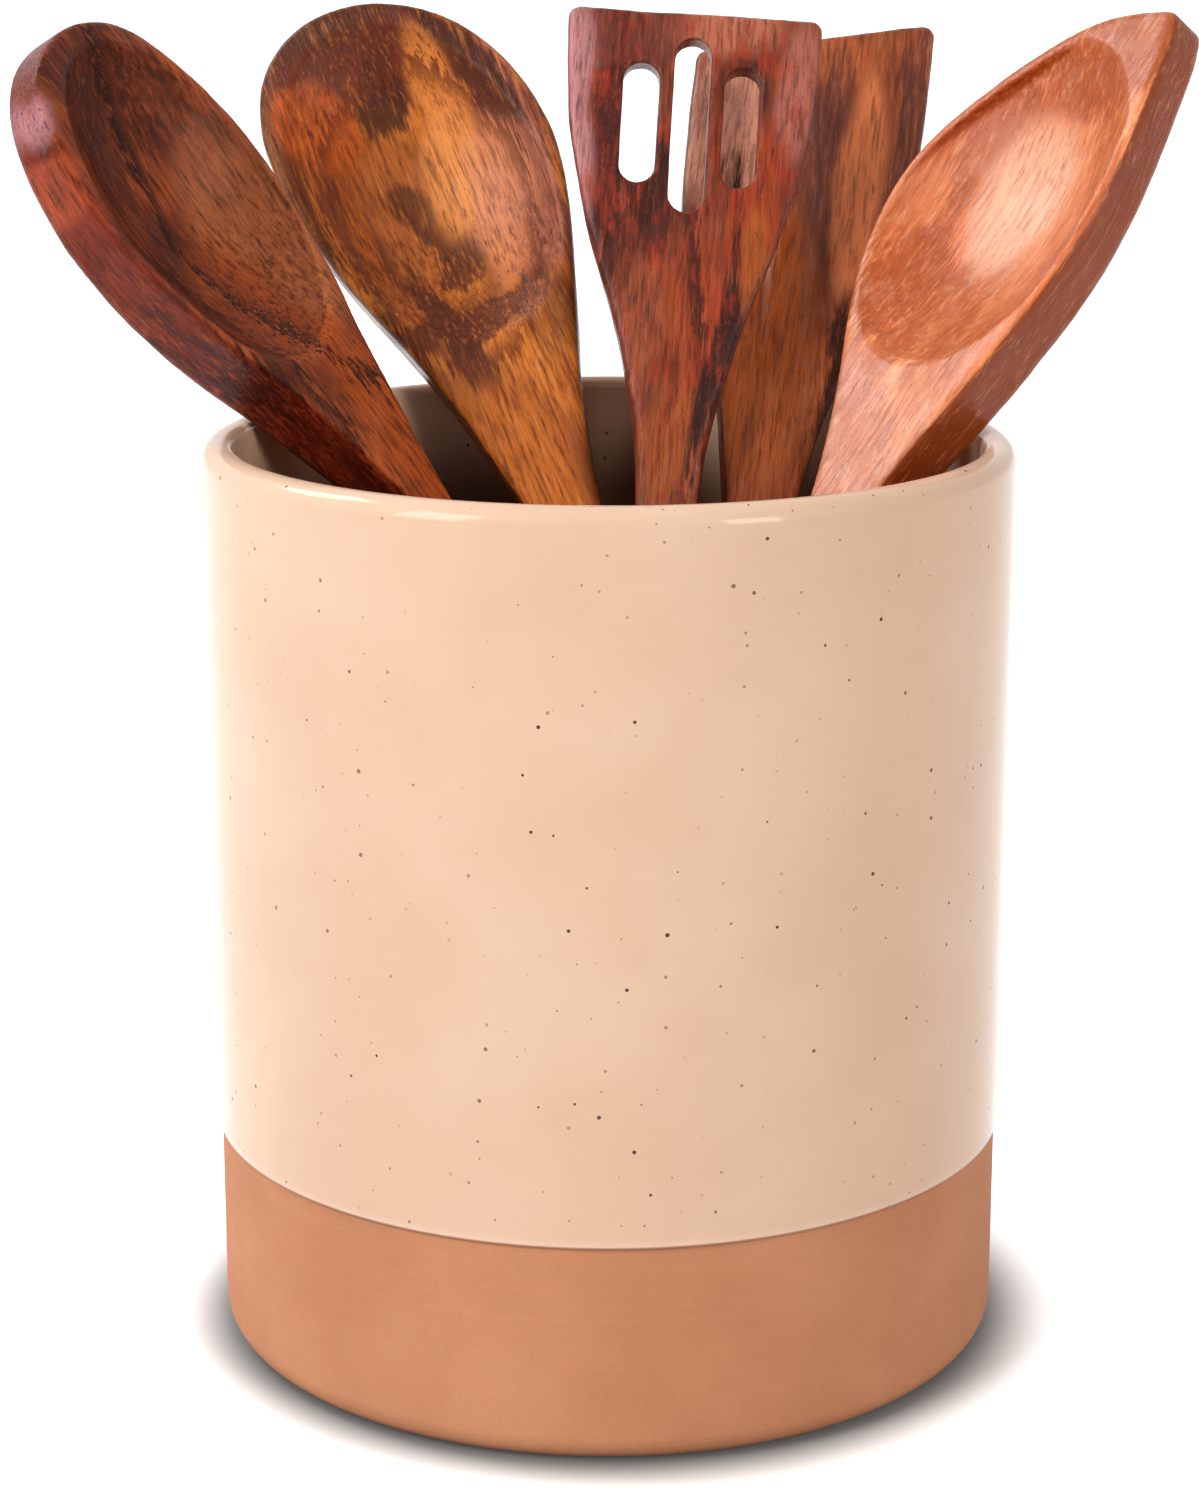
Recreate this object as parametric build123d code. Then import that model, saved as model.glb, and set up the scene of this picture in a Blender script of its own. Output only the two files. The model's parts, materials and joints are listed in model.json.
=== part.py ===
from build123d import *
import os
from math import atan2, cos, degrees, hypot, radians, sin

# A stoneware utensil crock, glazed cream over a bare clay foot, with five
# carved wooden utensils that lean outward on its lip.
# Millimetres, +Z up. The origin is the centre of the flat foot.

# Crock
crock_radius = 80.0
crock_height = 183.0
clay_wall = 5.2
clay_floor = 5.4
foot_recess = 2.0
foot_ring_width = 8.0
heel_round = 6.0
foot_edge_round = 1.0
lip_outer_round = 3.2
lip_inner_round = 1.6
floor_corner_round = 3.4

# Glaze: one skin over the lip, from the level line outside to the floor inside
glaze_skin = 0.6
glaze_line = 44.3
glaze_edge_round = 0.35

# Handles: alike on the five utensils
handle_width = 11.5
handle_thickness = 9.0
handle_end_round = 5.0
neck_rise = 1.0
front_round = 1.7
back_round = 2.0
grip_share = 0.36
neck_share = 0.61

# Every utensil stands this clear of the glaze, and its outline is cut with overruns
rest_clearance = 0.4
overrun = 10.0
cut_reach = 60.0
lean_passes = 8
bisections = 20
contact_shares = (0.0, 0.25, 0.5, 0.7, 0.85)
round_shares = ((1.0, 0.0), (0.29, 0.29), (0.0, 1.0))

# Deep spoon, at the left
deep_length = 301.2
deep_head_width = 50.6
deep_neck_thickness = 12.5
deep_bowl_thickness = 18.5
deep_tip_thickness = 11.0
deep_face_drop = 10.5
deep_crown_radius = 120.0
deep_bowl_length = 75.0
deep_bowl_width = 46.0
deep_bowl_depth = 11.0
deep_border = 2.6
deep_bowl_centre_shares = (0.859, -0.030)
deep_bowl_tilt = 0.0
deep_side_shares = (
    (0.624, -0.127, 0.123), (0.671, -0.194, 0.185), (0.704, -0.245, 0.237),
    (0.734, -0.308, 0.292), (0.762, -0.374, 0.352), (0.800, -0.443, 0.405),
    (0.840, -0.502, 0.451), (0.884, -0.538, 0.459), (0.922, -0.522, 0.422),
    (0.955, -0.462, 0.351), (0.980, -0.356, 0.259), (1.000, -0.040, -0.040))
deep_foot_shares = (0.819, 0.342)
deep_bearing = 159.2
deep_twist = 57.0

# Oval spoon, second from the left
oval_length = 297.2
oval_head_width = 59.0
oval_neck_thickness = 13.0
oval_bowl_thickness = 14.5
oval_tip_thickness = 8.0
oval_face_drop = 6.5
oval_crown_radius = 55.0
oval_bowl_length = 77.0
oval_bowl_width = 51.0
oval_bowl_depth = 9.0
oval_border = 2.6
oval_bowl_centre_shares = (0.852, -0.008)
oval_bowl_tilt = 9.0
oval_side_shares = (
    (0.598, -0.124, 0.153), (0.642, -0.172, 0.203), (0.680, -0.214, 0.257),
    (0.716, -0.266, 0.320), (0.751, -0.326, 0.381), (0.786, -0.387, 0.440),
    (0.820, -0.438, 0.485), (0.850, -0.470, 0.504), (0.879, -0.491, 0.496),
    (0.908, -0.499, 0.463), (0.937, -0.480, 0.401), (0.965, -0.424, 0.300),
    (0.985, -0.330, 0.170), (1.000, -0.093, -0.093))
oval_foot_shares = (0.776, -0.289)
oval_bearing = 111.1
oval_twist = 8.0

# Slotted turner, in the middle
slotted_length = 273.8
slotted_head_width = 54.0
slotted_neck_thickness = 10.5
slotted_blade_thickness = 7.0
slotted_edge_thickness = 5.6
slotted_face_drop = 4.5
slotted_crown_radius = 260.0
slotted_corner_round = 2.6
slot_width = 7.2
slot_pitch = 10.6
side_slot_length = 26.0
middle_slot_length = 37.8
slot_centre_share = 0.908
slotted_side_shares = (
    (0.598, -0.121, 0.121), (0.668, -0.148, 0.148), (0.709, -0.194, 0.194),
    (0.760, -0.266, 0.266), (0.811, -0.356, 0.356), (0.858, -0.420, 0.420),
    (0.900, -0.463, 0.463), (0.960, -0.492, 0.492), (1.000, -0.500, 0.500))
slotted_foot_shares = (0.026, -0.522)
slotted_bearing = 69.4
slotted_twist = 0.0

# Angled turner, behind the slotted one
angled_length = 300.5
angled_head_width = 51.5
angled_slant = 16.0
angled_neck_thickness = 10.5
angled_blade_thickness = 7.0
angled_edge_thickness = 5.6
angled_face_drop = 4.5
angled_crown_radius = 260.0
angled_corner_round = 2.6
ridge_width = 11.0
ridge_height = 2.2
ridge_span_shares = (0.630, 0.920)
angled_side_shares = (
    (0.601, -0.150, 0.150), (0.651, -0.196, 0.196), (0.690, -0.250, 0.250),
    (0.725, -0.325, 0.325), (0.760, -0.402, 0.402), (0.795, -0.456, 0.456),
    (0.835, -0.484, 0.484), (0.900, -0.496, 0.496), (1.000, -0.500, 0.500))
angled_foot_shares = (0.110, -0.818)
angled_bearing = 55.6
angled_twist = 0.0

# Corner spoon, at the right: its head runs to a corner on one side
corner_length = 307.0
corner_head_width = 55.4
corner_neck_thickness = 12.5
corner_bowl_thickness = 14.5
corner_tip_thickness = 11.0
corner_face_drop = 3.5
corner_crown_radius = 60.0
corner_tip_round = 3.5
corner_tip_angles = (20, 102)
corner_bowl_length = 76.0
corner_bowl_width = 53.0
corner_bowl_depth = 9.5
corner_border = 2.4
corner_bowl_centre_shares = (0.838, -0.190)
corner_bowl_tilt = 0.0
corner_side_shares = (
    (0.605, -0.148, 0.126), (0.645, -0.245, 0.145), (0.676, -0.338, 0.172),
    (0.7055, -0.440, 0.208), (0.741, -0.560, 0.245), (0.773, -0.644, 0.270),
    (0.803, -0.692, 0.288), (0.829, -0.704, 0.294), (0.857, -0.680, 0.285),
    (0.885, -0.620, 0.264), (0.911, -0.540, 0.234), (0.936, -0.443, 0.198),
    (0.960, -0.328, 0.162), (0.980, -0.200, 0.130), (1.000, 0.085, 0.085))
corner_foot_shares = (-0.690, -0.493)
corner_bearing = 4.2
corner_twist = -56.0

# Worked out from the sizes above
clay_radius = crock_radius - glaze_skin
clay_bore = clay_radius - clay_wall
clay_height = crock_height - glaze_skin
clay_floor_top = foot_recess + clay_floor
glaze_bore = clay_bore - glaze_skin
glaze_floor_top = clay_floor_top + glaze_skin
mid_wall = clay_radius - clay_wall / 2
mid_floor = foot_recess + clay_floor / 2
foot_bore = clay_radius - heel_round - foot_ring_width
lip_radius = lip_inner_round + glaze_skin
half_handle = handle_width / 2
half_thickness = handle_thickness / 2


def corner(face, across, up):
    """The corner of a flat face nearest to one point of it."""
    return min(face.vertices(), key=lambda v: hypot(v.X - across, v.Y - up))


def rounded(face, across, up, radius):
    return fillet(corner(face, across, up), radius)


def clay_section():
    """Half section of the pot: x is the distance from the axis, y is the height."""
    outline = Polyline(
        (0, foot_recess), (foot_bore, foot_recess), (foot_bore, 0),
        (clay_radius, 0), (clay_radius, clay_height), (clay_bore, clay_height),
        (clay_bore, clay_floor_top), (0, clay_floor_top), close=True)
    face = make_face(outline)
    face = rounded(face, clay_radius, 0, heel_round)
    face = rounded(face, foot_bore, 0, foot_edge_round)
    face = rounded(face, clay_radius, clay_height, lip_outer_round)
    face = rounded(face, clay_bore, clay_height, lip_inner_round)
    return rounded(face, clay_bore, clay_floor_top, floor_corner_round)


def box_face(left, right, low, high):
    return make_face(Polyline((left, low), (right, low), (right, high), (left, high), close=True))


def glaze_section():
    """The skin: the pot's section grown by the glaze, less the pot and the bare parts."""
    clay = clay_section()
    skin = offset(clay, amount=glaze_skin) - clay
    skin -= box_face(-overrun, 0, -overrun, crock_height)
    skin -= box_face(mid_wall, crock_radius + overrun, -overrun, glaze_line)
    skin -= box_face(-overrun, mid_wall, -overrun, mid_floor)
    return rounded(skin, crock_radius, glaze_line, glaze_edge_round)


def turned(section):
    return revolve(Plane.XZ * section, axis=Axis.Z)


# Each utensil is carved in its own frame: z runs along the handle from its end to the
# tip, y points out of the face, and x points to the left of someone facing it.

def side_line(length, width, shares, column, tip_angle, inset=0):
    """One edge of the outline, from the handle's end to the tip, or a line inside it."""
    inward = -inset if column == 1 else inset
    side = half_handle + inward if column == 1 else inward - half_handle
    points = [(side, 0), (side, grip_share * length)]
    points += [(inward - row[column] * width, row[0] * (length - inset)) for row in shares[:-1]]
    points.append((-shares[-1][column] * width, shares[-1][0] * length - inset))
    away = (-cos(radians(tip_angle)), sin(radians(tip_angle)))
    return Spline(*points, tangents=((0, 1), away))


def through(plane, face):
    """A face drawn on a plane, run straight through to the cut reach on both sides."""
    return extrude(plane.offset(-cut_reach) * face, amount=2 * cut_reach)


def closed_outline(left, right, tip=()):
    """The outline's face, its handle end rounded; a blade has a tip line as well."""
    face = make_face([left, right, Line(left @ 0, right @ 0), *tip])
    return fillet(face.vertices().sort_by(Axis.Y)[:2], handle_end_round)


def front_line(length, drop):
    """The face in side view: level along the handle, then falling back to the tip."""
    top = half_thickness + neck_rise
    middle = (1 + neck_share) / 2
    return ((0, half_thickness), (grip_share * length, half_thickness),
            (neck_share * length, top), (middle * length, top - drop / 2),
            (length, top - drop))


def back_line(length, drop, neck, belly, tip):
    """The back in side view, from the thicknesses at the neck, the middle and the tip."""
    front = front_line(length, drop)
    return ((0, -half_thickness), (grip_share * length, -half_thickness),
            (neck_share * length, front[2][1] - neck),
            (front[3][0], front[3][1] - belly),
            (length, front[4][1] - tip))


def side_curve(line, length, height_of):
    """A smooth curve in the side view, run on past both ends."""
    points = [(height_of(-overrun, line[0][1]))]
    points += [height_of(along, height) for along, height in line]
    slope = (line[-1][1] - line[-2][1]) / (line[-1][0] - line[-2][0])
    points.append(height_of(length + overrun, line[-1][1] + overrun * slope))
    return Spline(*points)


def front_side(length, drop):
    """Everything behind the face."""
    curve = side_curve(front_line(length, drop), length, lambda z, y: (y, z))
    low, high = curve @ 0, curve @ 1
    rest = Polyline(low, (-cut_reach, low.Y), (-cut_reach, high.Y), high)
    return through(Plane.YZ, make_face([curve, rest]))


def crowned_back(length, line, crown):
    """A turned body whose skin is the crowned back; its axis lies in front of the face."""
    curve = side_curve(line, length, lambda z, y: (crown - y + crown, z))
    low, high = curve @ 0, curve @ 1
    rest = Polyline(low, (crown, low.Y), (crown, high.Y), high)
    face = Plane.YZ * make_face([curve, rest])
    return revolve(face, axis=Axis((0, crown, 0), (0, 0, 1)))


def skin(body, side):
    """The broad skin in front, for side 1, or at the back, for side -1."""
    return max(body.faces(), key=lambda face: side * face.normal_at().Y * face.area)


def blank(outline, length, drop, line, crown):
    """The utensil before its bowl or slots are cut, with its long edges rounded."""
    body = through(Plane.XZ, outline)
    body = body & crowned_back(length, line, crown) & front_side(length, drop)
    body = fillet(skin(body, -1).edges(), back_round)
    return fillet(skin(body, 1).edges(), front_round)


def spoon_outline(length, width, shares, tips, tip_round, inset=0):
    left = side_line(length, width, shares, 1, tips[0], inset)
    right = side_line(length, width, shares, 2, tips[1], inset)
    if inset:
        return make_face([left, right, Line(left @ 0, right @ 0)])
    outline = closed_outline(left, right)
    if tip_round:
        outline = fillet(outline.vertices().sort_by(Axis.Y)[-1], tip_round)
    return outline


def swell(half_length, half_width, height):
    """A spheroid about z, of which a cap of this size and height is used."""
    radius = (half_width * half_width / height + height) / 2
    reach = half_length * radius / half_width
    arc = EllipticalCenterArc((0, 0), radius, reach, -90, arc_size=180)
    face = make_face([arc, Line(arc @ 0, arc @ 1)])
    return radius, revolve(Plane.XZ * face, axis=Axis.Z)


def face_fall(length, drop):
    """The slope of the face beyond the neck."""
    front = front_line(length, drop)
    return (front[2][1] - front[4][1]) / (front[4][0] - front[2][0])


def on_face(length, drop, across, along):
    """A place on the face, leaning back with it."""
    front = front_line(length, drop)
    surface = front[2][1] - face_fall(length, drop) * (along - front[2][0])
    return Pos(across, surface, along) * Rotation(degrees(atan2(face_fall(length, drop), 1)), 0, 0)


def bowl(length, width, drop, size, centre_shares, tilt, inside):
    """The hollow: part of a spheroid that dips below the face, kept off the border."""
    radius, egg = swell(size[0] / 2, size[1] / 2, size[2])
    place = on_face(length, drop, -centre_shares[1] * width, centre_shares[0] * length)
    hollow = place * Rotation(0, tilt, 0) * Pos(0, radius - size[2], 0) * egg
    return hollow & through(Plane.XZ, inside)


def spoon(length, width, shares, tips, drop, line, crown, hollow, tip_round):
    outline = spoon_outline(length, width, shares, tips, tip_round)
    body = blank(outline, length, drop, line, crown)
    size, centre_shares, tilt, border = hollow
    inside = spoon_outline(length, width, shares, tips, tip_round, border)
    return body - bowl(length, width, drop, size, centre_shares, tilt, inside)


def deep_spoon():
    line = back_line(deep_length, deep_face_drop, deep_neck_thickness,
                     deep_bowl_thickness, deep_tip_thickness)
    size = (deep_bowl_length, deep_bowl_width, deep_bowl_depth)
    hollow = (size, deep_bowl_centre_shares, deep_bowl_tilt, deep_border)
    return spoon(deep_length, deep_head_width, deep_side_shares, (0, 180),
                 deep_face_drop, line, deep_crown_radius, hollow, 0)


def oval_spoon():
    line = back_line(oval_length, oval_face_drop, oval_neck_thickness,
                     oval_bowl_thickness, oval_tip_thickness)
    size = (oval_bowl_length, oval_bowl_width, oval_bowl_depth)
    hollow = (size, oval_bowl_centre_shares, oval_bowl_tilt, oval_border)
    return spoon(oval_length, oval_head_width, oval_side_shares, (0, 180),
                 oval_face_drop, line, oval_crown_radius, hollow, 0)


def corner_spoon():
    line = back_line(corner_length, corner_face_drop, corner_neck_thickness,
                     corner_bowl_thickness, corner_tip_thickness)
    size = (corner_bowl_length, corner_bowl_width, corner_bowl_depth)
    hollow = (size, corner_bowl_centre_shares, corner_bowl_tilt, corner_border)
    return spoon(corner_length, corner_head_width, corner_side_shares, corner_tip_angles,
                 corner_face_drop, line, corner_crown_radius, hollow, corner_tip_round)


def blade(length, width, shares, slant, corner_round, drop, line, crown):
    """A flat turner, its front edge square or slanted."""
    lower = shares[:-1] + ((1 - slant / length, shares[-1][1], shares[-1][2]),)
    left = side_line(length, width, lower, 1, 90)
    right = side_line(length, width, shares, 2, 90)
    outline = closed_outline(left, right, [Line(left @ 1, right @ 1)])
    outline = fillet(outline.vertices().sort_by(Axis.Y)[-2:], corner_round)
    return blank(outline, length, drop, line, crown)


def slot(across, along, length):
    face = Pos(across, along) * SlotOverall(length, slot_width, rotation=90)
    return through(Plane.XZ, face)


def slotted_turner():
    line = back_line(slotted_length, slotted_face_drop, slotted_neck_thickness,
                     slotted_blade_thickness, slotted_edge_thickness)
    body = blade(slotted_length, slotted_head_width, slotted_side_shares, 0,
                 slotted_corner_round, slotted_face_drop, line, slotted_crown_radius)
    middle = slot_centre_share * slotted_length
    body -= slot(-slot_pitch, middle, side_slot_length)
    body -= slot(0, middle, middle_slot_length)
    return body - slot(slot_pitch, middle, side_slot_length)


def ridge():
    """The low spine that carries the handle's roundness into the angled blade."""
    low, high = (share * angled_length for share in ridge_span_shares)
    radius, egg = swell((high - low) / 2, ridge_width / 2, ridge_height)
    place = on_face(angled_length, angled_face_drop, 0, (low + high) / 2)
    cap = Pos(0, radius, 0) * Box(2 * radius, 2 * (radius + ridge_height), 2 * (high - low))
    return place * ((Pos(0, ridge_height - radius, 0) * egg) & cap)


def angled_turner():
    line = back_line(angled_length, angled_face_drop, angled_neck_thickness,
                     angled_blade_thickness, angled_edge_thickness)
    body = blade(angled_length, angled_head_width, angled_side_shares, angled_slant,
                 angled_corner_round, angled_face_drop, line, angled_crown_radius)
    return body + ridge()


def facing(start, end, twist):
    """The utensil's frame for an axis that runs from start to end."""
    along = (end - start).normalized()
    toward = Vector(0, -1, 0)
    toward = (toward - along * toward.dot(along)).normalized()
    left = toward.cross(along)
    across = left * cos(radians(twist)) + toward * sin(radians(twist))
    return Plane(start, x_dir=across, z_dir=along)


def standing(foot_shares, rim_point, twist):
    """The frame whose handle end just clears the floor on the line to the rim point."""
    foot = Vector(foot_shares[0] * glaze_bore, foot_shares[1] * glaze_bore, glaze_floor_top)
    plane = facing(foot, rim_point, twist)
    across = (half_handle - handle_end_round) * abs(plane.x_dir.Z)
    deep = (half_thickness - back_round) * abs(plane.y_dir.Z)
    corner_turn = (handle_end_round - back_round) * hypot(plane.x_dir.Z, plane.z_dir.Z)
    end = back_round - handle_end_round * plane.z_dir.Z
    foot = foot + Vector(0, 0, rest_clearance + across + deep + corner_turn + end)
    return facing(foot, rim_point, twist)


def height_on(curve, along):
    """The height of a side view's curve at one place along the utensil."""
    low, high = 0, 1
    for _ in range(bisections):
        middle = (low + high) / 2
        low, high = (middle, high) if (curve @ middle).Y < along else (low, middle)
    return (curve @ low).X


def back_corners(length, width, shares, line):
    """Lines along the back: its middle, and three on the rounding of each edge."""
    rows = [(grip_share, -half_handle / width, half_handle / width)] + list(shares)
    curve = side_curve(line, length, lambda z, y: (y, z))
    heights = [height_on(curve, row[0] * length) for row in rows]
    lines = [[(0, height, row[0] * length) for row, height in zip(rows, heights)]]
    for column, inward in ((1, -back_round), (2, back_round)):
        for across, deep in round_shares:
            lines.append([(across * inward - row[column] * width, deep * back_round + height,
                           row[0] * length) for row, height in zip(rows, heights)])
    return lines


def level(heights, along):
    """The height between the given places, on straight lines."""
    for low, high in zip(heights, heights[1:]):
        if along <= high[0] or high is heights[-1]:
            part = (along - low[0]) / (high[0] - low[0])
            return low[1] + part * (high[1] - low[1])


def reach_at(points, height):
    """How far from the crock's axis a line through these points is at one height."""
    for low, high in zip(points, points[1:]):
        if low.Z <= height < high.Z:
            at = low + (high - low) * ((height - low.Z) / (high.Z - low.Z))
            return hypot(at.X, at.Y)
    return 0


def widest_at_lip(plane, lines):
    """The reach of a leaning utensil's back at the lip, less what the lip's round gives way."""
    widest = 0
    for line in lines:
        points = [plane.from_local_coords(Vector(*point)) for point in line]
        for share in contact_shares:
            height = crock_height - lip_radius * (1 - share)
            given = lip_radius - lip_radius * (1 - share * share) ** 0.5
            widest = max(widest, reach_at(points, height) - given)
    return widest


def leaning(foot_shares, bearing, twist, lines):
    """The frame of a utensil whose back just clears the inner lip."""
    reach = glaze_bore - handle_thickness
    toward = Vector(cos(radians(bearing)), sin(radians(bearing)), 0)
    for _ in range(lean_passes):
        plane = standing(foot_shares, toward * reach + Vector(0, 0, crock_height), twist)
        reach += glaze_bore - rest_clearance - widest_at_lip(plane, lines)
    return plane


def deep_plane():
    line = back_line(deep_length, deep_face_drop, deep_neck_thickness,
                     deep_bowl_thickness, deep_tip_thickness)
    lines = back_corners(deep_length, deep_head_width, deep_side_shares, line)
    return leaning(deep_foot_shares, deep_bearing, deep_twist, lines)


def oval_plane():
    line = back_line(oval_length, oval_face_drop, oval_neck_thickness,
                     oval_bowl_thickness, oval_tip_thickness)
    lines = back_corners(oval_length, oval_head_width, oval_side_shares, line)
    return leaning(oval_foot_shares, oval_bearing, oval_twist, lines)


def blade_gap(plane, lines, carrier):
    """The least gap between the back of the slotted turner and the angled one's face."""
    face = front_line(angled_length, angled_face_drop)
    low, high = (share * angled_length for share in ridge_span_shares)
    least = cut_reach
    for line in lines:
        for point in line:
            at = carrier.to_local_coords(plane.from_local_coords(Vector(*point)))
            if at.Z < face[2][0] or abs(at.X) > angled_head_width / 2:
                continue
            top = level([(z, y) for z, y in face[2:]], at.Z)
            if abs(at.X) < ridge_width / 2 and low < at.Z < high:
                top += ridge_height * (high - at.Z) / (high - low)
            least = min(least, at.Y - top)
    return least


def slotted_plane(carrier):
    """The slotted turner stands in front of the angled one and leans on its face."""
    line = back_line(slotted_length, slotted_face_drop, slotted_neck_thickness,
                     slotted_blade_thickness, slotted_edge_thickness)
    lines = back_corners(slotted_length, slotted_head_width, slotted_side_shares, line)
    toward = Vector(cos(radians(slotted_bearing)), sin(radians(slotted_bearing)), 0)
    reach = glaze_bore / 2
    for _ in range(lean_passes):
        rim_point = toward * reach + Vector(0, 0, crock_height)
        plane = standing(slotted_foot_shares, rim_point, slotted_twist)
        reach += blade_gap(plane, lines, carrier) - rest_clearance
    return plane


def angled_plane():
    line = back_line(angled_length, angled_face_drop, angled_neck_thickness,
                     angled_blade_thickness, angled_edge_thickness)
    lines = back_corners(angled_length, angled_head_width, angled_side_shares, line)
    return leaning(angled_foot_shares, angled_bearing, angled_twist, lines)


def corner_plane():
    line = back_line(corner_length, corner_face_drop, corner_neck_thickness,
                     corner_bowl_thickness, corner_tip_thickness)
    lines = back_corners(corner_length, corner_head_width, corner_side_shares, line)
    return leaning(corner_foot_shares, corner_bearing, corner_twist, lines)


planes = {
    "deep_spoon": deep_plane(),
    "oval_spoon": oval_plane(),
    "slotted_turner": slotted_plane(angled_plane()),
    "angled_turner": angled_plane(),
    "corner_spoon": corner_plane(),
}

parts = {
    "clay_body": turned(clay_section()),
    "cream_glaze": turned(glaze_section()),
    "deep_spoon": planes["deep_spoon"].location * deep_spoon(),
    "oval_spoon": planes["oval_spoon"].location * oval_spoon(),
    "slotted_turner": planes["slotted_turner"].location * slotted_turner(),
    "angled_turner": planes["angled_turner"].location * angled_turner(),
    "corner_spoon": planes["corner_spoon"].location * corner_spoon(),
}

os.makedirs("parts", exist_ok=True)
for name, solid in parts.items():
    export_step(solid, "parts/" + name + ".step")

for name, plane in planes.items():
    print(name, "foot", plane.origin, "axis", plane.z_dir, "face", plane.y_dir, "across", plane.x_dir)
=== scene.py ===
# %% [markdown]
# A stoneware utensil crock with five carved wooden tools.
# The crock is cream glazed over a bare clay foot. Four of the tools lean outward on its lip,
# and the slotted turner leans on the face of the angled one behind it.
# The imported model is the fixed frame: every piece here is in metres,
# in the same place as its solid.

import json
from math import cos, pi, radians, sin

import bpy
from mathutils import Matrix, Vector


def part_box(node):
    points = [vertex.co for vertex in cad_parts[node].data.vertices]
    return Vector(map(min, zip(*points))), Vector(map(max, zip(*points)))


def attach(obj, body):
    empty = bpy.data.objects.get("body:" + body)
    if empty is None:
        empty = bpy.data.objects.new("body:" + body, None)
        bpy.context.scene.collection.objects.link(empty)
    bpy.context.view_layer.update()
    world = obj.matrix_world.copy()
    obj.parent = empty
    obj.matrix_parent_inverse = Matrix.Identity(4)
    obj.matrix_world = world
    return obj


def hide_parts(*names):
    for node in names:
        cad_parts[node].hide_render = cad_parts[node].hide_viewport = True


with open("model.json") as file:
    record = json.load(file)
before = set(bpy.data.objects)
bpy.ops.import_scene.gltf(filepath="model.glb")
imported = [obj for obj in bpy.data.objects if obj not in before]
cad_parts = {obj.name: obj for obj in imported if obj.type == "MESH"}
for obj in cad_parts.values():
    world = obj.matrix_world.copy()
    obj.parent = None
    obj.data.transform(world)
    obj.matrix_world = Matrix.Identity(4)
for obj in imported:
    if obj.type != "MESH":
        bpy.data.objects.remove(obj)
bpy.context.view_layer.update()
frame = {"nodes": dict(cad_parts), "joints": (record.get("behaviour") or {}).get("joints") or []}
mm = 0.001
print("nodes", sorted(frame["nodes"]))

# %% [markdown]
# Blender's operators act on whatever is selected, and loading the frame leaves its nodes selected.
# So each piece starts from an empty selection, and faces or edges are then picked by where they lie.

# %% Selection helpers
def pick_none():
    bpy.ops.object.select_all(action="DESELECT")


def pick(piece):
    """Make the piece the only selected one, and the active one."""
    pick_none()
    piece.select_set(True)
    bpy.context.view_layer.objects.active = piece


def leave_edit_mode():
    bpy.ops.object.mode_set(mode="OBJECT")


def edit_whole(piece):
    """Enter edit mode with the whole piece selected."""
    pick(piece)
    bpy.ops.object.mode_set(mode="EDIT")
    bpy.ops.mesh.select_all(action="SELECT")


def start_picking(piece, kind):
    """Clear the selection inside the piece, so that faces or edges can be picked."""
    pick(piece)
    bpy.ops.object.mode_set(mode="EDIT")
    bpy.ops.mesh.select_all(action="DESELECT")
    bpy.ops.mesh.select_mode(type=kind)
    leave_edit_mode()


def pick_faces(piece, wanted):
    """Enter edit mode with the faces whose centre and normal pass the test."""
    start_picking(piece, "FACE")
    for face in piece.data.polygons:
        face.select = wanted(face.center, face.normal)
    bpy.ops.object.mode_set(mode="EDIT")


def pick_edges(piece, wanted):
    """Enter edit mode with the edges whose two ends pass the test."""
    start_picking(piece, "EDGE")
    points = piece.data.vertices
    for edge in piece.data.edges:
        edge.select = wanted(*[points[index].co for index in edge.vertices])
    bpy.ops.object.mode_set(mode="EDIT")


def apply(piece, kind, **settings):
    """Add one modifier, set it up and apply it."""
    pick(piece)
    modifier = piece.modifiers.new(kind.title(), kind)
    for name, value in settings.items():
        setattr(modifier, name, value)
    bpy.ops.object.modifier_apply(modifier=modifier.name)


def copy_of(piece, name):
    pick(piece)
    bpy.ops.object.duplicate()
    made = bpy.context.object
    made.name = name
    return made


# %% [markdown]
# The camera stands 0.67 m in front of the crock and looks down by not quite 15 degrees.
# A long lens of 83 mm keeps the crock's sides nearly parallel, as they are in the photograph.
# The crock stands a little right of the middle there, so the camera turns left by 0.15 degrees.

# %% Camera
camera_place = Vector((0, -674.1 * mm, 295.8 * mm))
camera_down = radians(14.72)
camera_left = radians(0.153)
camera_lens = 82.96

bpy.ops.object.camera_add(location=camera_place,
                          rotation=(pi / 2 - camera_down, 0, camera_left))
camera = bpy.context.object
camera.data.lens = camera_lens
bpy.context.scene.camera = camera
print("camera lens", camera.data.lens)

# %% [markdown]
# Colours are written as they look on a screen, from 0 to 255, and turned to the linear values
# that a shader takes. The node helpers keep each finish readable as one list of steps.

# %% Colour and node helpers
def colour(*parts):
    """A screen colour (red, green and blue) as a linear one."""
    linear = [((part / 255 + 0.055) / 1.055) ** 2.4 if part > 10 else part / 255 / 12.92
              for part in parts]
    return (*linear, 1)


def grey(level):
    """A linear grey, from 0 for black to 1 for white."""
    return (level, level, level, 1)


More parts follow.
